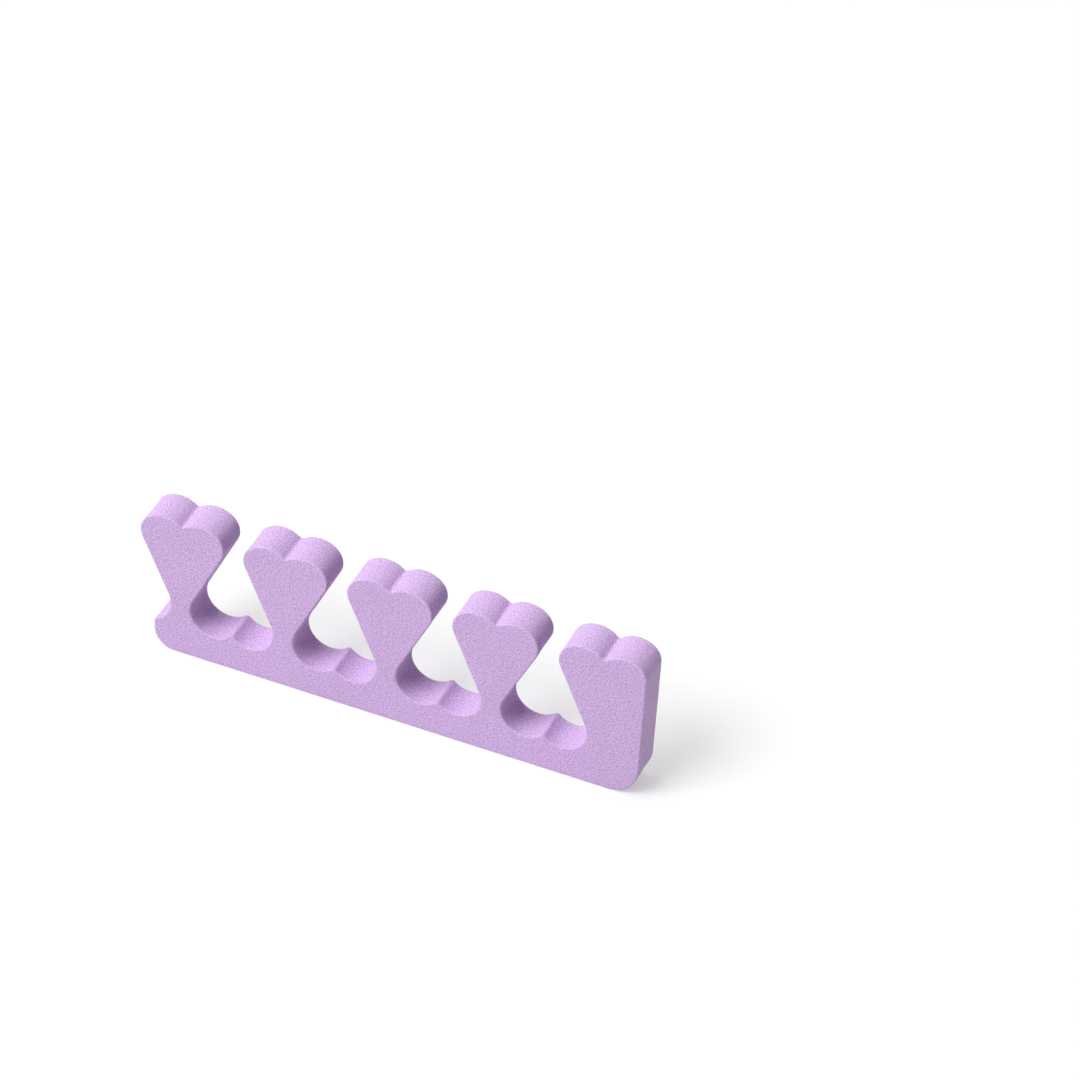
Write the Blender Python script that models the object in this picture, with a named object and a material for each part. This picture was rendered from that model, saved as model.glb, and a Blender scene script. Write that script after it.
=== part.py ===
"""Toe separator: one comb of soft foam, cut from a flat sheet with a shaped blade.

The blank stands on its spine. Five heart-shaped fingers rise from it, side by side along X, and the four
spaces between them hold the toes. The sheet's thickness lies along Y. The same blade cuts hearts and spaces
in turn, so a space is a heart upside down: two scoops with a ridge between them on its floor.
"""

import math

import bpy
import numpy as np

MM = 0.001

# Driving sizes of the blank
FINGER_COUNT = 5
FINGER_PITCH = 19.5 * MM
HEIGHT = 28.7 * MM
THICKNESS = 7.0 * MM
EDGE_ROUNDING = 0.35 * MM

# A heart: two lobes, each with a round cheek and a flatter crown
HEART_LOBE_SPACING = 8.1 * MM
CHEEK_RADIUS = 3.85 * MM
CROWN_RADIUS = 4.9 * MM
CROWN_END_ANGLE = math.radians(55)
VALLEY_FILLET = 0.6 * MM

# A toe space: two scoops above the spine
SPINE_HEIGHT = 5.7 * MM
SCOOP_SPACING = 6.8 * MM
SCOOP_RADIUS = 4.45 * MM
RIDGE_FILLET = 0.6 * MM

# The shoulder that runs out of the first finger
SHOULDER_REACH = 5.0 * MM
SHOULDER_TIP_FILLET = 0.8 * MM
SHOULDER_BASE_RADIUS = 4.0 * MM

# The last finger, cut off straight down its outer side
END_REACH = 8.0 * MM
END_CHEEK_RADIUS = 3.55 * MM
END_BASE_RADIUS = 5.5 * MM

# Fineness of the round stretches
FACET_ANGLE = math.radians(10)
SHORTEST_FACET = 0.15 * MM
EDGE_ROUNDING_STEPS = 1

FOAM_COLOUR = (0.60, 0.42, 0.75, 1.0)
FOAM_ROUGHNESS = 0.95

QUARTER_TURN = math.pi / 2

# Sizes that follow from the ones above
CROWN_EXTRA = CROWN_RADIUS - CHEEK_RADIUS
SCOOP_CENTRE_HEIGHT = SPINE_HEIGHT + SCOOP_RADIUS
FIRST_FINGER_LEFT = HEART_LOBE_SPACING / 2 + CHEEK_RADIUS
LEFT_REACH = max(FIRST_FINGER_LEFT, SHOULDER_REACH)
LAST_FINGER_X = (FINGER_COUNT - 1) * FINGER_PITCH
LENGTH = LEFT_REACH + LAST_FINGER_X + END_REACH
FIRST_FINGER_X = LEFT_REACH - LENGTH / 2


def clear_scene():
    """Remove what the scene holds, so that it ends with this object alone."""
    for item in list(bpy.data.objects):
        bpy.data.objects.remove(item, do_unlink=True)


def arc(centre, radius, start, end):
    """Points on an arc about a centre, from one angle to another, both ends included."""
    swept = abs(end - start)
    most_facets = max(1, int(swept * radius / SHORTEST_FACET))
    facets = min(math.ceil(swept / FACET_ANGLE), most_facets)
    angles = np.linspace(start, end, facets + 1)
    x = centre[0] + radius * np.cos(angles)
    z = centre[1] + radius * np.sin(angles)
    return np.column_stack((x, z))


def mirrored(points):
    """The same stretch seen in a mirror at x = 0, and walked the other way."""
    return points[::-1] * (-1, 1)


def moved(points, distance):
    """The same stretch, moved along X."""
    return points + (distance, 0.0)


def lobe_centres(cheek_x, cheek_radius):
    """Centres of a right lobe's cheek and crown: the crown reaches the full height, and its circle touches the
    cheek's at the crown's end.
    """
    toward_end = np.array((math.cos(CROWN_END_ANGLE), math.sin(CROWN_END_ANGLE)))
    crown_z = HEIGHT - cheek_radius - CROWN_EXTRA
    cheek = np.array((cheek_x, crown_z + CROWN_EXTRA * toward_end[1]))
    return cheek, cheek - CROWN_EXTRA * toward_end


def fillet_centre(left, left_reach, right, right_reach):
    """The upper one of the two points that lie at a given reach from a left and from a right point."""
    apart = math.dist(left, right)
    along = (apart ** 2 + left_reach ** 2 - right_reach ** 2) / (2 * apart)
    rise = math.sqrt(left_reach ** 2 - along ** 2)
    toward = (right - left) / apart
    return left + along * toward + rise * np.array((-toward[1], toward[0]))


def scoop_centre():
    """Centre of the left scoop of a toe space, with the space's middle at x = 0."""
    return -SCOOP_SPACING / 2, SCOOP_CENTRE_HEIGHT


def flank_angle():
    """Direction square to the straight flank that joins a cheek to the next scoop.

    The flank is the inner tangent of the two circles: it leaves the cheek at this angle, and meets the
    scoop at the opposite one.
    """
    cheek = lobe_centres(HEART_LOBE_SPACING / 2, CHEEK_RADIUS)[0]
    scoop_x, scoop_z = scoop_centre()
    across = scoop_x + FINGER_PITCH / 2 - cheek[0]
    down = scoop_z - cheek[1]
    distance = math.hypot(across, down)
    swing = math.acos((CHEEK_RADIUS + SCOOP_RADIUS) / distance)
    return math.atan2(down, across) + swing


def lobe(cheek_x, cheek_radius, touch_angle, end_angle):
    """Right lobe of a heart's edge, from the end of its valley over the crown to the end of its cheek."""
    cheek, crown = lobe_centres(cheek_x, cheek_radius)
    crown_arc = arc(crown, cheek_radius + CROWN_EXTRA, touch_angle, CROWN_END_ANGLE)
    cheek_arc = arc(cheek, cheek_radius, CROWN_END_ANGLE, end_angle)
    return np.vstack((crown_arc, cheek_arc[1:]))


def heart(right_cheek_x, right_cheek_radius, right_end_angle):
    """A heart's whole edge, from the end of its left cheek to the end of its right one.

    The left lobe is the same in every heart. The valley's fillet touches the crowns of both lobes.
    """
    left_cheek_x = HEART_LOBE_SPACING / 2
    left_crown = lobe_centres(left_cheek_x, CHEEK_RADIUS)[1] * (-1, 1)
    right_crown = lobe_centres(right_cheek_x, right_cheek_radius)[1]
    right_reach = right_cheek_radius + CROWN_EXTRA + VALLEY_FILLET
    fillet = fillet_centre(left_crown, CROWN_RADIUS + VALLEY_FILLET, right_crown, right_reach)
    left_touch = math.atan2(fillet[1] - left_crown[1], fillet[0] - left_crown[0])
    right_touch = math.atan2(fillet[1] - right_crown[1], fillet[0] - right_crown[0])
    left = mirrored(lobe(left_cheek_x, CHEEK_RADIUS, math.pi - left_touch, flank_angle()))
    valley = arc(fillet, VALLEY_FILLET, left_touch + math.pi, right_touch + math.pi)
    right = lobe(right_cheek_x, right_cheek_radius, right_touch, right_end_angle)
    return np.vstack((left, valley[1:], right[1:]))


def space_half():
    """Left half of a toe space's edge, from the end of the flank round the scoop to the top of its ridge."""
    scoop_x, scoop_z = scoop_centre()
    fillet_z = scoop_z - math.sqrt((SCOOP_RADIUS + RIDGE_FILLET) ** 2 - scoop_x ** 2)
    touch_angle = math.atan2(fillet_z - scoop_z, -scoop_x)
    scoop = arc((scoop_x, scoop_z), SCOOP_RADIUS, flank_angle() + math.pi, touch_angle + 2 * math.pi)
    ridge = arc((0, fillet_z), RIDGE_FILLET, touch_angle + math.pi, QUARTER_TURN)
    return np.vstack((scoop, ridge[1:]))


def shoulder():
    """Left end of the spine: round base corner, short upright edge, then the scoop beside the first finger."""
    edge_x = -SHOULDER_REACH
    base = arc((edge_x + SHOULDER_BASE_RADIUS, SHOULDER_BASE_RADIUS), SHOULDER_BASE_RADIUS,
               -QUARTER_TURN, -2 * QUARTER_TURN)
    scoop_x = SCOOP_SPACING / 2 - FINGER_PITCH / 2
    tip_x = edge_x + SHOULDER_TIP_FILLET
    tip_drop = math.sqrt((SCOOP_RADIUS + SHOULDER_TIP_FILLET) ** 2 - (tip_x - scoop_x) ** 2)
    tip_z = SCOOP_CENTRE_HEIGHT - tip_drop
    touch_angle = math.atan2(-tip_drop, tip_x - scoop_x)
    tip = arc((tip_x, tip_z), SHOULDER_TIP_FILLET, math.pi, touch_angle + math.pi)
    scoop = arc((scoop_x, SCOOP_CENTRE_HEIGHT), SCOOP_RADIUS, touch_angle, -flank_angle())
    return np.vstack((base, tip, scoop[1:]))


def end_side():
    """Right end of the spine: the round base corner below the last finger's straight side."""
    centre_x = LAST_FINGER_X + END_REACH - END_BASE_RADIUS
    return arc((centre_x, END_BASE_RADIUS), END_BASE_RADIUS, 0, -QUARTER_TURN)


def outline():
    """The blank's whole edge as one clockwise walk, with x = 0 at the middle of its length."""
    even_heart = heart(HEART_LOBE_SPACING / 2, CHEEK_RADIUS, flank_angle())
    end_heart = heart(END_REACH - END_CHEEK_RADIUS, END_CHEEK_RADIUS, 0)
    space_left = space_half()
    space = np.vstack((space_left, mirrored(space_left)[1:]))
    stretches = [shoulder()]
    for finger in range(FINGER_COUNT - 1):
        stretches.append(moved(even_heart, finger * FINGER_PITCH))
        stretches.append(moved(space, (finger + 0.5) * FINGER_PITCH))
    stretches.append(moved(end_heart, LAST_FINGER_X))
    stretches.append(end_side())
    return moved(np.vstack(stretches), FIRST_FINGER_X)


def foam_material():
    """Closed-cell foam: a dull lilac with no shine."""
    material = bpy.data.materials.new("lilac_foam")
    material.use_nodes = True
    shader = material.node_tree.nodes["Principled BSDF"]
    shader.inputs["Base Color"].default_value = FOAM_COLOUR
    shader.inputs["Roughness"].default_value = FOAM_ROUGHNESS
    shader.inputs["Metallic"].default_value = 0.0
    return material


def toe_separator():
    """The comb itself: the filled outline given the sheet's thickness, with softly rounded rims."""
    points = outline()
    curve = bpy.data.curves.new("toe_separator", "CURVE")
    curve.dimensions = "2D"
    curve.fill_mode = "BOTH"
    spline = curve.splines.new("POLY")
    spline.points.add(len(points) - 1)
    for spline_point, (x, z) in zip(spline.points, points):
        spline_point.co = (x, z, 0, 1)
    spline.use_cyclic_u = True
    curve.extrude = THICKNESS / 2 - EDGE_ROUNDING
    curve.bevel_depth = EDGE_ROUNDING
    curve.bevel_resolution = EDGE_ROUNDING_STEPS
    curve.offset = -EDGE_ROUNDING
    curve.materials.append(foam_material())
    comb = bpy.data.objects.new("toe_separator", curve)
    comb.rotation_euler = (QUARTER_TURN, 0, 0)
    return comb


def main():
    clear_scene()
    parts = bpy.data.collections.new("toe_separator")
    bpy.context.scene.collection.children.link(parts)
    parts.objects.link(toe_separator())


main()
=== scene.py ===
"""Foam toe separator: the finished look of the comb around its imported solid, laid out as an add-on."""
import math

import bpy
import numpy as np
from bpy.props import FloatProperty, FloatVectorProperty, IntProperty, PointerProperty
from mathutils import Matrix, Vector, geometry


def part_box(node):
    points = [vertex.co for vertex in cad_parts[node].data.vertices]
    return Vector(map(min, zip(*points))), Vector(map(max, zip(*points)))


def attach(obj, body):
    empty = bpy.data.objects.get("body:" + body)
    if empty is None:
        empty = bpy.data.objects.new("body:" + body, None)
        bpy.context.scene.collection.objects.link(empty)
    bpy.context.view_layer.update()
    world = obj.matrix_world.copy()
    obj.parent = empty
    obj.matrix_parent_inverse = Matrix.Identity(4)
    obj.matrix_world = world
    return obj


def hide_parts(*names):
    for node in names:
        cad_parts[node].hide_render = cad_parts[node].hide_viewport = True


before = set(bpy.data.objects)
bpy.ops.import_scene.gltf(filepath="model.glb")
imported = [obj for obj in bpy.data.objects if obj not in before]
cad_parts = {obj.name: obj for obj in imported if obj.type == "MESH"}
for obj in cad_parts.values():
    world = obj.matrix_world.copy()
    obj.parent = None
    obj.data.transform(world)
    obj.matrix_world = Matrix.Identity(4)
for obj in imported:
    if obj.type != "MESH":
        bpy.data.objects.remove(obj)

bl_info = {
    "name": "Foam Toe Separator",
    "version": (1, 0, 0),
    "blender": (4, 5, 0),
    "location": "View3D > Sidebar > Toe Separator",
    "description": "A die-cut foam toe comb with heart-shaped fingers, and a pale stage for it",
    "category": "Add Mesh",
}

MM = 0.001
QUARTER_TURN = math.pi / 2
NODE = "toe_separator"
FRAME_LOW, FRAME_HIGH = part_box(NODE)
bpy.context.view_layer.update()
SHEET_MAP = "sheet"
MOST_ASTRAY = 0.5 * MM

# Fineness of the skin: rows round a rim, and how near the rim a face's lattice comes, in steps
RIM_ROWS = 5
RIM_CLEARANCE = 0.6
LATTICE_BLOCKS = 40
SAME_POINT = 1e-9
INNER_FACES_ONLY = 1

# Widths of the skin's waves; the colour drifts over the slow one
SLOW_WAVE = 9 * MM
FINE_WAVE = 0.8 * MM

# Whole numbers that mix a corner's three numbers and its seed
CORNER_FACTORS = (73856093, 19349663, 83492791)
SEED_FACTOR = 2654435761
MIX_FACTOR = 1274126177
LOW_BITS = 0xFFFF

# The grain: how its noises are turned, and how narrow and how strong its pores are beside its spots
SPOT_TURNS = (math.radians(20), math.radians(65))
PORE_TURN = math.radians(-25)
PORES_PER_SPOT = 2.3
PORE_SHARE = 0.3
COLOUR_DRIFT = 0.05

# The floor: half its side, the grey that the camera sees shaded, the glow that lifts it, the grey that other
# light finds, and how far from the comb the camera's view of it starts to turn plain white and has turned
FLOOR_REACH = 4.0
FLOOR_SHADED = 0.55
FLOOR_LIFT = 0.42
FLOOR_QUIET = 0.65
WHITE_FROM = 0.3
WHITE_FULL = 0.9

# The lamps: the name, the stage's setting for its share of light, its direction and its side
LAMP_DISTANCE = 2.5
LAMP_AIM = (0, 0, 15 * MM)
LAMPS = (
    ("key", "key", (-0.38, -0.55, 0.745), 1.4),
    ("top_fill", "top", (-0.3, 0.0, 0.95), 1.4),
    ("side_fill", "side", (1.0, 0.0, 0.1), 0.6),
    ("back_fill", "back", (-0.3, 0.9, 0.3), 1.4),
)

NODE_SPACING = 180


class TOESEP_PG_blank(bpy.types.PropertyGroup):
    """Sizes of the blank that the shaped blade cuts from foam sheet."""

    finger_count: IntProperty(name="Fingers", description="Heart-shaped fingers on the spine",
                              default=5, min=2)
    finger_pitch: FloatProperty(name="Finger pitch", description="From one heart's middle to the next",
                                default=19.5 * MM, unit="LENGTH", precision=5)
    height: FloatProperty(name="Height", description="From the base to the top of the hearts",
                          default=28.7 * MM, unit="LENGTH", precision=5)
    thickness: FloatProperty(name="Sheet thickness", description="Thickness of the foam sheet",
                             default=FRAME_HIGH.y - FRAME_LOW.y, unit="LENGTH", precision=5)
    lobe_spacing: FloatProperty(name="Lobe spacing", description="Between the two lobes of a heart",
                                default=8.1 * MM, unit="LENGTH", precision=5)
    cheek_radius: FloatProperty(name="Cheek radius", description="Round side of a heart's lobe",
                                default=3.85 * MM, unit="LENGTH", precision=5)
    crown_radius: FloatProperty(name="Crown radius", description="Flatter top of a heart's lobe",
                                default=4.9 * MM, unit="LENGTH", precision=5)
    crown_end: FloatProperty(name="Crown end", description="Where a lobe's crown turns into its cheek",
                             default=math.radians(55), subtype="ANGLE")
    crease_fillet: FloatProperty(name="Crease fillet", description="Round in a valley and on a ridge",
                                 default=0.6 * MM, unit="LENGTH", precision=5)
    spine_height: FloatProperty(name="Spine height", description="From the base to the floor of a toe space",
                                default=5.7 * MM, unit="LENGTH", precision=5)
    scoop_spacing: FloatProperty(name="Scoop spacing", description="Between the two scoops of a toe space",
                                 default=6.8 * MM, unit="LENGTH", precision=5)
    scoop_radius: FloatProperty(name="Scoop radius", description="Round of a scoop",
                                default=4.45 * MM, unit="LENGTH", precision=5)
    shoulder_reach: FloatProperty(name="Shoulder reach", description="Spine beyond the first heart's middle",
                                  default=5.0 * MM, unit="LENGTH", precision=5)
    shoulder_tip: FloatProperty(name="Shoulder tip", description="Round on the shoulder's upper corner",
                                default=0.8 * MM, unit="LENGTH", precision=5)
    shoulder_base: FloatProperty(name="Shoulder base", description="Round on the shoulder's lower corner",
                                 default=4.0 * MM, unit="LENGTH", precision=5)
    end_reach: FloatProperty(name="End reach", description="From the last heart's middle to its edge",
                             default=8.0 * MM, unit="LENGTH", precision=5)
    end_cheek: FloatProperty(name="End cheek", description="Round above the straight side",
                             default=3.55 * MM, unit="LENGTH", precision=5)
    end_base: FloatProperty(name="End base", description="Round below the straight side",
                            default=5.5 * MM, unit="LENGTH", precision=5)
    rim_radius: FloatProperty(name="Rim radius", description="Round of the cut edges",
                              default=0.3 * MM, unit="LENGTH", precision=5)
    rim_hold: FloatProperty(name="Rim hold", description="Flat strip on each side of a rim, for crispness",
                            default=0.08 * MM, unit="LENGTH", precision=5)
    wall_hollow: FloatProperty(name="Wall hollow", description="How far a wall draws in at mid thickness",
                               default=0.06 * MM, unit="LENGTH", precision=5)
    mesh_step: FloatProperty(name="Mesh step", description="Distance between neighbouring surface points",
                             default=0.3 * MM, unit="LENGTH", precision=5)


class TOESEP_PG_foam(bpy.types.PropertyGroup):
    """Finish of the closed-cell foam."""

    dark_spots: FloatVectorProperty(name="Dark spots", description="Colour of the grain's darkest spots",
                                    subtype="COLOR", default=(0.500, 0.328, 0.610), min=0, max=1)
    light_spots: FloatVectorProperty(name="Light spots", description="Colour of the grain's lightest spots",
                                     subtype="COLOR", default=(0.720, 0.530, 0.832), min=0, max=1)
    roughness: FloatProperty(name="Roughness", description="Dullness of the foam", default=0.9, min=0, max=1)
    grain: FloatProperty(name="Grain", description="Width of one spot of the grain", default=0.31 * MM,
                         unit="LENGTH", precision=5)
    grain_spread: FloatProperty(name="Grain spread", description="Span of noise from dark to light spots",
                                default=0.25, min=0.05, max=1)
    relief: FloatProperty(name="Relief", description="Height of the grain's spots", default=0.09 * MM,
                          unit="LENGTH", precision=5)
    swell: FloatProperty(name="Swell", description="Height of the sheet's slow waves", default=0.03 * MM,
                         unit="LENGTH", precision=5)
    ripple: FloatProperty(name="Ripple", description="Height of the skin's fine waves", default=0.01 * MM,
                          unit="LENGTH", precision=5)
    glow: FloatProperty(name="Glow", description="Share of the light that wanders inside the foam",
                        default=0.3, min=0, max=1)
    glow_reach: FloatProperty(name="Glow reach", description="How far red light wanders inside the foam",
                              default=0.3 * MM, unit="LENGTH", precision=5)


class TOESEP_PG_stage(bpy.types.PropertyGroup):
    """Camera, lamps and floor."""

    azimuth: FloatProperty(name="Azimuth", description="Camera's turn round the piece",
                           default=math.radians(20.26), subtype="ANGLE")
    elevation: FloatProperty(name="Elevation", description="Camera's height over the horizon",
                             default=math.radians(37.73), subtype="ANGLE")
    roll: FloatProperty(name="Roll", description="Camera's lean about its line of sight",
                        default=math.radians(4.26), subtype="ANGLE")
    distance: FloatProperty(name="Distance", description="From the camera to its aim",
                            default=0.8106, unit="LENGTH")
    aim: FloatVectorProperty(name="Aim", description="Point in the middle of the picture",
                             default=(0.0262, -0.0035, 0.0481), subtype="TRANSLATION", precision=5)
    lens: FloatProperty(name="Lens", description="Focal length in millimetres", default=164.06)
    key: FloatProperty(name="Key", description="Light from the front left, as a share of full light",
                       default=1.0)
    back: FloatProperty(name="Back fill", description="Light from behind, as a share of full light",
                        default=0.3)
    top: FloatProperty(name="Top fill", description="Light from above, as a share of full light",
                       default=0.32)
    side: FloatProperty(name="Side fill", description="Light from the right, as a share of full light",
                        default=0.13)
    sky: FloatProperty(name="Sky", description="Light from all round, as a share of full light",
                       default=0.14)


def arc(centre, radius, start, end, step):
    """Points on an arc: centre plus radius times the cosine and sine of evenly spaced angles."""
    count = max(1, math.ceil(abs(end - start) * radius / step))
    angles = np.linspace(start, end, count + 1)
    return np.column_stack((centre[0] + radius * np.cos(angles), centre[1] + radius * np.sin(angles)))


def mirrored(points):
    """The same stretch with x turned to minus x, and walked the other way."""
    return points[::-1] * (-1, 1)


def split_evenly(points, step):
    """Closed line with points added: each side longer than the step is cut into equal parts."""
    sides = np.roll(points, -1, axis=0) - points
    parts = np.maximum(1, np.ceil(np.linalg.norm(sides, axis=1) / step)).astype(int)
    first = np.repeat(np.cumsum(parts) - parts, parts)
    share = (np.arange(parts.sum()) - first) / np.repeat(parts, parts)
    return np.repeat(points, parts, axis=0) + np.repeat(sides, parts, axis=0) * share[:, None]


def lobe_centres(blank, cheek_x, cheek_radius):
    """Centres of a right lobe's cheek and crown: the crown's circle holds the cheek's, and touches it from
    outside at the crown's end; the crown's top is at the full height.
    """
    extra = blank.crown_radius - blank.cheek_radius
    toward_end = np.array((math.cos(blank.crown_end), math.sin(blank.crown_end)))
    crown_z = blank.height - cheek_radius - extra
    cheek = np.array((cheek_x, crown_z + extra * toward_end[1]))
    return cheek, cheek - extra * toward_end


def fillet_centre(left, left_reach, right, right_reach):
    """The upper one of the two points that lie at a given reach from a left and from a right point."""
    apart = math.dist(left, right)
    along = (apart ** 2 + left_reach ** 2 - right_reach ** 2) / (2 * apart)
    rise = math.sqrt(left_reach ** 2 - along ** 2)
    toward = (right - left) / apart
    return left + along * toward + rise * np.array((-toward[1], toward[0]))


def flank_angle(blank):
    """Angle at which the straight flank leaves a cheek: it is the inner tangent of cheek and scoop."""
    cheek = lobe_centres(blank, blank.lobe_spacing / 2, blank.cheek_radius)[0]
    across = blank.finger_pitch / 2 - blank.scoop_spacing / 2 - cheek[0]
    down = blank.spine_height + blank.scoop_radius - cheek[1]
    swing = math.acos((blank.cheek_radius + blank.scoop_radius) / math.hypot(across, down))
    return math.atan2(down, across) + swing


def lobe(blank, cheek_x, cheek_radius, touch, end_angle):
    """Right lobe of a heart: a wide arc over the crown, then a tighter one round the cheek."""
    cheek, crown = lobe_centres(blank, cheek_x, cheek_radius)
    crown_radius = cheek_radius + blank.crown_radius - blank.cheek_radius
    crown_arc = arc(crown, crown_radius, touch, blank.crown_end, blank.mesh_step)
    cheek_arc = arc(cheek, cheek_radius, blank.crown_end, end_angle, blank.mesh_step)
    return np.vstack((crown_arc, cheek_arc[1:]))


def heart(blank, right_x, right_radius, right_end):
    """Heart from its left cheek's end to its right one's: two lobes, and a small arc in the valley that
    touches both crowns. The left lobe is the same in every heart.
    """
    step = blank.mesh_step
    left_x = blank.lobe_spacing / 2
    left_radius = blank.cheek_radius
    extra = blank.crown_radius - blank.cheek_radius + blank.crease_fillet
    left_crown = lobe_centres(blank, left_x, left_radius)[1] * (-1, 1)
    right_crown = lobe_centres(blank, right_x, right_radius)[1]
    fillet = fillet_centre(left_crown, left_radius + extra, right_crown, right_radius + extra)
    left_touch = math.atan2(fillet[1] - left_crown[1], fillet[0] - left_crown[0])
    right_touch = math.atan2(fillet[1] - right_crown[1], fillet[0] - right_crown[0])
    left = mirrored(lobe(blank, left_x, left_radius, math.pi - left_touch, flank_angle(blank)))
    valley = arc(fillet, blank.crease_fillet, left_touch + math.pi, right_touch + math.pi, step / 2)
    right = lobe(blank, right_x, right_radius, right_touch, right_end)
    return np.vstack((left, valley[1:], right[1:]))


def space_half(blank):
    """Left half of a toe space: an arc round the scoop, then a small one up to the top of the ridge."""
    step = blank.mesh_step
    scoop_x = -blank.scoop_spacing / 2
    scoop_z = blank.spine_height + blank.scoop_radius
    reach = blank.scoop_radius + blank.crease_fillet
    ridge_z = scoop_z - math.sqrt(reach ** 2 - scoop_x ** 2)
    touch = math.atan2(ridge_z - scoop_z, -scoop_x)
    scoop = arc((scoop_x, scoop_z), blank.scoop_radius,
                flank_angle(blank) + math.pi, touch + 2 * math.pi, step)
    ridge = arc((0, ridge_z), blank.crease_fillet, touch + math.pi, QUARTER_TURN, step / 2)
    return np.vstack((scoop, ridge[1:]))


def shoulder(blank):
    """Left end: a round base corner, a small round tip, and the scoop that runs up to the first heart."""
    step = blank.mesh_step
    edge_x = -blank.shoulder_reach
    base = arc((edge_x + blank.shoulder_base, blank.shoulder_base), blank.shoulder_base,
               -QUARTER_TURN, -2 * QUARTER_TURN, step)
    scoop_x = blank.scoop_spacing / 2 - blank.finger_pitch / 2
    scoop_z = blank.spine_height + blank.scoop_radius
    tip_x = edge_x + blank.shoulder_tip
    drop = math.sqrt((blank.scoop_radius + blank.shoulder_tip) ** 2 - (tip_x - scoop_x) ** 2)
    touch = math.atan2(-drop, tip_x - scoop_x)
    tip = arc((tip_x, scoop_z - drop), blank.shoulder_tip, math.pi, touch + math.pi, step / 2)
    scoop = arc((scoop_x, scoop_z), blank.scoop_radius, touch, -flank_angle(blank), step)
    return np.vstack((base, tip, scoop[1:]))


def outline(blank):
    """The blank's whole edge, walked clockwise: shoulder, hearts and spaces in turn, the straight end."""
    even_heart = heart(blank, blank.lobe_spacing / 2, blank.cheek_radius, flank_angle(blank))
    end_heart = heart(blank, blank.end_reach - blank.end_cheek, blank.end_cheek, 0)
    space_left = space_half(blank)
    space = np.vstack((space_left, mirrored(space_left)[1:]))
    stretches = [shoulder(blank)]
    for finger in range(blank.finger_count - 1):
        stretches.append(even_heart + (finger * blank.finger_pitch, 0))
        stretches.append(space + ((finger + 0.5) * blank.finger_pitch, 0))
    last_x = (blank.finger_count - 1) * blank.finger_pitch
    stretches.append(end_heart + (last_x, 0))
    corner_x = last_x + blank.end_reach - blank.end_base
    stretches.append(arc((corner_x, blank.end_base), blank.end_base, 0, -QUARTER_TURN, blank.mesh_step))
    line = split_evenly(np.vstack(stretches), blank.mesh_step)
    middle = (line[:, 0].min() + line[:, 0].max()) / 2
    return line - (middle, 0)


def outward(line):
    """Unit directions that point out of the foam: each tangent turned a quarter to the left."""
    tangent = np.roll(line, -1, axis=0) - np.roll(line, 1, axis=0)
    normal = np.column_stack((-tangent[:, 1], tangent[:, 0]))
    return normal / np.linalg.norm(normal, axis=1)[:, None]


def wall_profile(blank):
    """Section of the wall in rows of (draw-in, depth, lean): a quarter circle, a shallow parabola, and a
    quarter circle.

    Draw-in is how far a point lies inside the outline, and lean is the turn of the surface from facing
    front (0) through facing out (a quarter turn) to facing back (a half turn). A narrow flat strip lies on
    each side of a quarter circle: the first row is on the face, and the hollow starts past the second.
    """
    half = blank.thickness / 2
    radius = blank.rim_radius
    rim_turn = np.linspace(0, QUARTER_TURN, RIM_ROWS)
    rim_in = radius * (1 - np.sin(rim_turn))
    rim_depth = -half + radius * (1 - np.cos(rim_turn))
    flat = half - radius - blank.rim_hold
    rows = math.ceil(2 * flat / blank.mesh_step)
    depth = np.linspace(-flat, flat, rows + 1)
    hollow = blank.wall_hollow * (1 - (depth / flat) ** 2)
    on_face = [radius + blank.rim_hold]
    draw_in = np.concatenate((on_face, rim_in, hollow, rim_in[::-1], on_face))
    across = np.concatenate(([-half], rim_depth, depth, -rim_depth[::-1], [half]))
    upright = np.full(len(depth), QUARTER_TURN)
    lean = np.concatenate(([0], rim_turn, upright, math.pi - rim_turn[::-1], [math.pi]))
    return draw_in, across, lean


def inside(points, line):
    """True for points within a closed line: a ray to the right crosses it an odd number of times."""
    x, z = points[:, :1], points[:, 1:]
    ax, az = line[:, 0], line[:, 1]
    bx, bz = np.roll(ax, -1), np.roll(az, -1)
    crosses = (az > z) != (bz > z)
    rise = np.where(bz == az, 1, bz - az)
    return (crosses & (x < ax + (z - az) / rise * (bx - ax))).sum(axis=1) % 2 == 1


def face_points(line, step):
    """Points of a face: a lattice of even triangles, kept where it lies within the rim and clear of it."""
    low, high = line.min(axis=0), line.max(axis=0)
    row_rise = step * math.sqrt(3) / 2
    columns, rows = np.meshgrid(np.arange(low[0], high[0], step), np.arange(low[1], high[1], row_rise))
    shifted = columns + (np.arange(len(rows)) % 2)[:, None] * step / 2
    lattice = np.column_stack((shifted.ravel(), rows.ravel()))
    kept = []
    for block in np.array_split(lattice, LATTICE_BLOCKS):
        block = block[inside(block, line)]
        if len(block):
            gap = np.sqrt(((block[:, None, :] - line[None, :, :]) ** 2).sum(axis=2)).min(axis=1)
            kept.append(block[gap > step * RIM_CLEARANCE])
    return np.vstack(kept)


def anticlockwise(triangles, points):
    """The same triangles, all walked anticlockwise: where the cross product of two sides is negative, the
    corners are taken in the other order.
    """
    first = points[triangles[:, 1]] - points[triangles[:, 0]]
    second = points[triangles[:, 2]] - points[triangles[:, 0]]
    cross = first[:, 0] * second[:, 1] - first[:, 1] * second[:, 0]
    return np.where(cross[:, None] > 0, triangles, triangles[:, ::-1])


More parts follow.
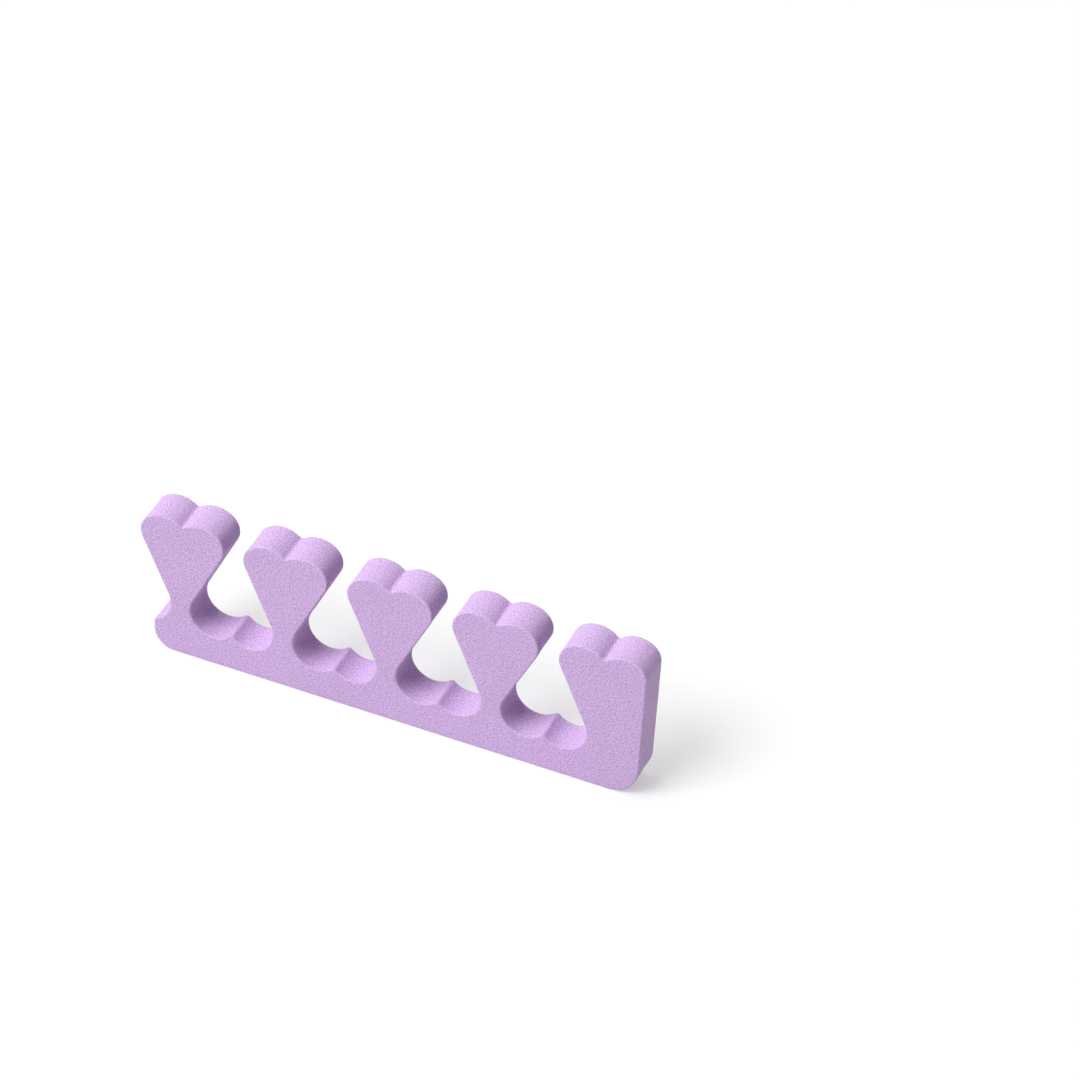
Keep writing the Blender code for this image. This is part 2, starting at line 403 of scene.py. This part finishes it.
def fill_face(rim, step):
    """The lattice points of a face, and the triangles that join them and the rim's own points.

    The filling is Delaunay's, which keeps all the rim's sides and otherwise takes the triangles whose
    circles hold no other point.
    """
    lattice = face_points(rim, step)
    points = np.vstack((rim, lattice))
    count = len(rim)
    edges = [(i, (i + 1) % count) for i in range(count)]
    flat_points = [Vector(point) for point in points]
    found = geometry.delaunay_2d_cdt(flat_points, edges, [], INNER_FACES_ONLY, SAME_POINT)
    if len(found[0]) != len(points):
        raise RuntimeError("the face's filling moved its rim: change the mesh step")
    return lattice, anticlockwise(np.array(found[2]), points)


def lattice_value(corner, seed):
    """A fixed number from 0 to 1 for each whole-number corner: its three numbers mixed by products."""
    across, deep, high = (corner * CORNER_FACTORS).T
    stirred = across ^ deep ^ high ^ (seed * SEED_FACTOR)
    stirred = (stirred ^ (stirred >> 13)) * MIX_FACTOR
    return ((stirred ^ (stirred >> 16)) & LOW_BITS) / LOW_BITS


def soft_noise(points, cell, seed):
    """Smooth noise from -1 to 1: the values at a cell's eight corners, blended by s squared (3 - 2 s)."""
    scaled = points / cell
    corner = np.floor(scaled).astype(np.int64)
    share = scaled - corner
    share = share ** 2 * (3 - 2 * share)
    total = np.zeros(len(points))
    for step in np.ndindex(2, 2, 2):
        weight = np.prod(np.where(step, share, 1 - share), axis=1)
        total += weight * lattice_value(corner + np.array(step), seed)
    return 2 * total - 1


def wall_skin(blank, line):
    """Points of the wall, their outward directions and its quads: the section carried along the outline.

    A point is the outline's point, moved inward by the section's draw-in, at the section's depth. It faces
    the outline's normal times the sine of the lean, and the front (minus Y) times the lean's cosine.
    """
    normal = outward(line)
    draw_in, across, lean = wall_profile(blank)
    around, rows = len(line), len(draw_in)
    points = np.empty((around, rows, 3))
    points[:, :, ::2] = line[:, None, :] - normal[:, None, :] * draw_in[None, :, None]
    points[:, :, 1] = across
    facing = np.empty_like(points)
    facing[:, :, ::2] = normal[:, None, :] * np.sin(lean)[None, :, None]
    facing[:, :, 1] = -np.cos(lean)
    here = np.arange(around)[:, None] * rows + np.arange(rows - 1)[None, :]
    ahead = np.roll(here, -1, axis=0)
    quads = np.stack((here, ahead, ahead + 1, here + 1), axis=-1).reshape(-1, 4)
    return points, facing, quads


def wall_map(blank, line):
    """Where the wall's quads lie on a flat map: across is the way along the outline, up is the way through
    the section, both in metres, so that a pattern on the map keeps its size.
    """
    draw_in, depth, _ = wall_profile(blank)
    up = np.concatenate(([0], np.cumsum(np.hypot(np.diff(draw_in), np.diff(depth)))))
    sides = np.linalg.norm(np.roll(line, -1, axis=0) - line, axis=1)
    along = np.concatenate(([0], np.cumsum(sides)))
    corners = np.empty((len(line), len(up) - 1, 4, 2))
    corners[:, :, (0, 3), 0] = along[:-1, None, None]
    corners[:, :, (1, 2), 0] = along[1:, None, None]
    corners[:, :, (0, 1), 1] = up[None, :-1, None]
    corners[:, :, (2, 3), 1] = up[None, 1:, None]
    return corners.reshape(-1, 2)


def waves(points, foam):
    """Height of the foam's uneven skin: the swell times slow noise, plus the ripple times fine noise."""
    slow = soft_noise(points, SLOW_WAVE, 1)
    fine = soft_noise(points, FINE_WAVE, 2)
    return foam.swell * slow + foam.ripple * fine


def comb_mesh(blank, foam):
    """The comb as one closed skin: the wall, and on each side a filled face that shares the wall's rim."""
    line = outline(blank)
    wall, wall_facing, quads = wall_skin(blank, line)
    around, rows = wall.shape[:2]
    lattice, triangles = fill_face(wall[:, 0, ::2], blank.mesh_step)
    front = np.insert(lattice, 1, -blank.thickness / 2, axis=1)
    back = np.insert(lattice, 1, blank.thickness / 2, axis=1)
    points = np.vstack((wall.reshape(-1, 3), front, back))
    facing = np.vstack((wall_facing.reshape(-1, 3), np.tile((0, -1, 0), (len(front), 1)),
                        np.tile((0, 1, 0), (len(back), 1))))
    wall_end = around * rows
    front_names = np.concatenate((np.arange(around) * rows, wall_end + np.arange(len(front))))
    back_names = np.concatenate((np.arange(around) * rows + rows - 1,
                                 wall_end + len(front) + np.arange(len(back))))
    front_faces = front_names[triangles]
    back_faces = back_names[triangles[:, ::-1]]
    points = points + facing * waves(points, foam)[:, None]
    mesh = bpy.data.meshes.new("foam_comb")
    mesh.from_pydata(points.tolist(), [], quads.tolist() + front_faces.tolist() + back_faces.tolist())
    mesh.shade_smooth()
    apart = (0, 2 * blank.height)
    front_map = points[front_faces.ravel()][:, ::2]
    back_map = points[back_faces.ravel()][:, ::2] + apart
    corners = np.vstack((wall_map(blank, line) - apart, front_map, back_map))
    mesh.uv_layers.new(name=SHEET_MAP).uv.foreach_set("vector", corners.astype(np.float32).ravel())
    return mesh


class NodeBench:
    """The node tree of a new material or world, with a short call that adds and joins nodes."""

    def __init__(self, owner):
        owner.use_nodes = True
        self.tree = owner.node_tree
        self.tree.nodes.clear()
        self.column = 0

    def add(self, kind, inputs=None, **settings):
        """Add a node, set its own settings, then fill its inputs with values or other nodes' outputs."""
        node = self.tree.nodes.new(kind)
        self.column += 1
        node.location = (self.column * NODE_SPACING, 0)
        for key, value in settings.items():
            setattr(node, key, value)
        for key, value in (inputs or {}).items():
            if isinstance(value, bpy.types.NodeSocket):
                self.tree.links.new(value, node.inputs[key])
            else:
                node.inputs[key].default_value = value
        return node


def mixed(bench, share, first, second, kind="FLOAT"):
    """The first value or colour where the share is 0, and the second where it is 1.

    The sockets are taken by number, because a Mix node has the same names again for each kind of data.
    """
    first_in, second_in, result = {"FLOAT": (2, 3, 0), "RGBA": (6, 7, 2)}[kind]
    node = bench.add("ShaderNodeMix", {0: share, first_in: first, second_in: second}, data_type=kind)
    return node.outputs[result]


def mixed_shader(bench, share, first, second):
    """The first shader where the share is 0, and the second where it is 1."""
    node = bench.add("ShaderNodeMixShader", {0: share, 1: first, 2: second})
    return node.outputs[0]


def turned_noise(bench, place, turn, cell):
    """Flat noise with spots as wide as a cell, on a grid that is turned away from the sheet's edges."""
    turned = bench.add("ShaderNodeMapping", {"Vector": place, "Rotation": (0, 0, turn)})
    noise = bench.add("ShaderNodeTexNoise", {"Vector": turned.outputs[0], "Scale": 1 / cell, "Detail": 0.0},
                      noise_dimensions="2D")
    return noise.outputs["Fac"]


def foam_material(foam):
    """Closed-cell foam: dull, with fine lighter and darker spots, and light that wanders inside it.

    The spots are flat noise on the sheet's map, which keeps them of even width. The slow drift of the colour
    goes through the whole sheet.
    """
    material = bpy.data.materials.new("lilac_foam")
    bench = NodeBench(material)
    place = bench.add("ShaderNodeTexCoord").outputs["Object"]
    sheet = bench.add("ShaderNodeUVMap", uv_map=SHEET_MAP).outputs["UV"]
    spots = mixed(bench, 0.5, *(turned_noise(bench, sheet, turn, foam.grain) for turn in SPOT_TURNS))
    pores = turned_noise(bench, sheet, PORE_TURN, foam.grain / PORES_PER_SPOT)
    cloud = bench.add("ShaderNodeTexNoise", {"Vector": place, "Scale": 1 / SLOW_WAVE, "Detail": 2.0})
    grain = mixed(bench, PORE_SHARE, spots, pores)
    low = 0.5 - foam.grain_spread / 2
    high = 0.5 + foam.grain_spread / 2
    share = bench.add("ShaderNodeMapRange", {"Value": grain, "From Min": low, "From Max": high})
    tone = mixed(bench, share.outputs[0], (*foam.dark_spots, 1), (*foam.light_spots, 1), kind="RGBA")
    drift = bench.add("ShaderNodeMapRange", {"Value": cloud.outputs["Fac"], "To Min": 1 - COLOUR_DRIFT,
                                             "To Max": 1 + COLOUR_DRIFT})
    colour = bench.add("ShaderNodeVectorMath", {0: tone, 1: drift.outputs[0]}, operation="MULTIPLY")
    bump = bench.add("ShaderNodeBump", {"Height": grain, "Distance": foam.relief, "Strength": 1.0})
    shader = bench.add("ShaderNodeBsdfPrincipled", {
        "Base Color": colour.outputs[0], "Normal": bump.outputs[0], "Roughness": foam.roughness,
        "Specular IOR Level": 0.2, "Subsurface Weight": foam.glow,
        "Subsurface Radius": (1.0, 0.6, 0.75), "Subsurface Scale": foam.glow_reach})
    bench.add("ShaderNodeOutputMaterial", {"Surface": shader.outputs[0]})
    return material


def check_against_solid(mesh):
    """Stop if the skin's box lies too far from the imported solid's box."""
    spots = np.empty(len(mesh.vertices) * 3)
    mesh.vertices.foreach_get("co", spots)
    spots = spots.reshape(-1, 3)
    astray = max(np.abs(spots.min(axis=0) - FRAME_LOW).max(), np.abs(spots.max(axis=0) - FRAME_HIGH).max())
    if astray > MOST_ASTRAY:
        raise RuntimeError(f"the comb's skin is {astray / MM:.2f} mm away from its solid's box")


class TOESEP_OT_cut_comb(bpy.types.Operator):
    """Cut the foam comb and give it its finish"""

    bl_idname = "toesep.cut_comb"
    bl_label = "Cut foam comb"

    def execute(self, context):
        blank = context.scene.toesep_blank
        foam = context.scene.toesep_foam
        mesh = comb_mesh(blank, foam)
        check_against_solid(mesh)
        mesh.materials.append(foam_material(foam))
        comb = bpy.data.objects.new("foam_comb", mesh)
        context.scene.collection.objects.link(comb)
        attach(comb, "root")
        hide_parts(NODE)
        return {"FINISHED"}


def seen_ray(bench):
    """1 for a ray from the camera, off a glossy surface or through a clear one, and 0 for any other."""
    path = bench.add("ShaderNodeLightPath")
    seen = bench.add("ShaderNodeMath", {0: path.outputs["Is Camera Ray"], 1: path.outputs["Is Glossy Ray"]},
                     operation="MAXIMUM")
    seen = bench.add("ShaderNodeMath", {0: seen.outputs[0], 1: path.outputs["Is Transmission Ray"]},
                     operation="MAXIMUM")
    return seen.outputs[0]


def grey(level):
    """An opaque grey."""
    return level, level, level, 1


def stage_floor():
    """A wide pale floor: the camera sees it white but for the comb's soft shadow, and other light finds it
    dim.

    Beyond the lamps' reach the camera sees plain white, which joins the sky's.
    """
    mesh = bpy.data.meshes.new("floor")
    corners = [(FLOOR_REACH * x, FLOOR_REACH * y, 0) for x, y in ((-1, -1), (1, -1), (1, 1), (-1, 1))]
    mesh.from_pydata(corners, [], [(0, 1, 2, 3)])
    floor = bpy.data.objects.new("floor", mesh)
    bpy.context.scene.collection.objects.link(floor)
    material = bpy.data.materials.new("pale_floor")
    bench = NodeBench(material)
    shaded = bench.add("ShaderNodeBsdfDiffuse", {"Color": grey(FLOOR_SHADED)})
    lift = bench.add("ShaderNodeEmission", {"Color": grey(1), "Strength": FLOOR_LIFT})
    bright = bench.add("ShaderNodeAddShader", {0: shaded.outputs[0], 1: lift.outputs[0]})
    place = bench.add("ShaderNodeTexCoord").outputs["Object"]
    away = bench.add("ShaderNodeVectorMath", {0: place}, operation="LENGTH").outputs["Value"]
    far = bench.add("ShaderNodeMapRange", {"Value": away, "From Min": WHITE_FROM, "From Max": WHITE_FULL})
    white = bench.add("ShaderNodeEmission", {"Color": grey(1), "Strength": 1.0})
    shown = mixed_shader(bench, far.outputs[0], bright.outputs[0], white.outputs[0])
    quiet = bench.add("ShaderNodeBsdfDiffuse", {"Color": grey(FLOOR_QUIET)})
    surface = mixed_shader(bench, seen_ray(bench), quiet.outputs[0], shown)
    bench.add("ShaderNodeOutputMaterial", {"Surface": surface})
    mesh.materials.append(material)


def stage_sky(strength):
    """Even light from all round, which the camera and reflections see as white."""
    world = bpy.data.worlds.new("studio")
    bpy.context.scene.world = world
    bench = NodeBench(world)
    sky = bench.add("ShaderNodeBackground", {"Color": grey(1), "Strength": strength})
    white = bench.add("ShaderNodeBackground", {"Color": grey(1), "Strength": 1.0})
    surface = mixed_shader(bench, seen_ray(bench), sky.outputs[0], white.outputs[0])
    bench.add("ShaderNodeOutputWorld", {"Surface": surface})


def stage_lamp(name, direction, share, side):
    """A square soft box in a direction from the comb, strong enough to give that share of full light there.

    Full light shows a surface that faces it in its own colour. A lamp of power P at distance D gives
    P / (pi D)^2 of it.
    """
    lamp = bpy.data.lights.new(name, "AREA")
    lamp.shape = "SQUARE"
    lamp.size = side
    lamp.energy = share * (math.pi * LAMP_DISTANCE) ** 2
    holder = bpy.data.objects.new(name, lamp)
    bpy.context.scene.collection.objects.link(holder)
    towards = Vector(direction).normalized()
    holder.location = Vector(LAMP_AIM) + towards * LAMP_DISTANCE
    holder.rotation_euler = towards.to_track_quat("Z", "Y").to_euler()


def stage_camera(stage):
    """Camera at an azimuth, elevation and roll round its aim, with the picture taken as square."""
    turn, climb = stage.azimuth, stage.elevation
    ahead = Vector((-math.sin(turn) * math.cos(climb), math.cos(turn) * math.cos(climb), -math.sin(climb)))
    level = Vector((math.cos(turn), math.sin(turn), 0))
    upright = level.cross(ahead)
    right = level * math.cos(stage.roll) + upright * math.sin(stage.roll)
    up = right.cross(ahead)
    camera = bpy.data.cameras.new("camera")
    camera.lens = stage.lens
    camera.clip_start = 0.01
    camera.clip_end = 20
    holder = bpy.data.objects.new("camera", camera)
    bpy.context.scene.collection.objects.link(holder)
    pose = Matrix((right, up, -ahead)).transposed().to_4x4()
    pose.translation = Vector(stage.aim) - ahead * stage.distance
    holder.matrix_world = pose
    bpy.context.scene.camera = holder


class TOESEP_OT_set_stage(bpy.types.Operator):
    """Set the floor, the lamps and the camera"""

    bl_idname = "toesep.set_stage"
    bl_label = "Set stage"

    def execute(self, context):
        stage = context.scene.toesep_stage
        stage_floor()
        stage_sky(stage.sky)
        for name, setting, direction, side in LAMPS:
            stage_lamp(name, direction, getattr(stage, setting), side)
        stage_camera(stage)
        context.scene.view_settings.view_transform = "Standard"
        return {"FINISHED"}


class TOESEP_PT_panel(bpy.types.Panel):
    """Lists the comb's sizes and finish and the two steps that make the scene"""

    bl_idname = "TOESEP_PT_panel"
    bl_label = "Toe Separator"
    bl_space_type = "VIEW_3D"
    bl_region_type = "UI"
    bl_category = "Toe Separator"

    def draw(self, context):
        scene = context.scene
        for title, group in (("Blank", scene.toesep_blank), ("Foam", scene.toesep_foam),
                             ("Stage", scene.toesep_stage)):
            box = self.layout.box()
            box.label(text=title)
            for name in group.__annotations__:
                box.prop(group, name)
        self.layout.operator(TOESEP_OT_cut_comb.bl_idname)
        self.layout.operator(TOESEP_OT_set_stage.bl_idname)


CLASSES = (TOESEP_PG_blank, TOESEP_PG_foam, TOESEP_PG_stage, TOESEP_OT_cut_comb, TOESEP_OT_set_stage,
           TOESEP_PT_panel)


def register():
    for item in CLASSES:
        bpy.utils.register_class(item)
    bpy.types.Scene.toesep_blank = PointerProperty(type=TOESEP_PG_blank)
    bpy.types.Scene.toesep_foam = PointerProperty(type=TOESEP_PG_foam)
    bpy.types.Scene.toesep_stage = PointerProperty(type=TOESEP_PG_stage)


def unregister():
    del bpy.types.Scene.toesep_stage
    del bpy.types.Scene.toesep_foam
    del bpy.types.Scene.toesep_blank
    for item in reversed(CLASSES):
        bpy.utils.unregister_class(item)


def main():
    register()
    bpy.ops.toesep.cut_comb()
    bpy.ops.toesep.set_stage()


if __name__ == "__main__":
    main()
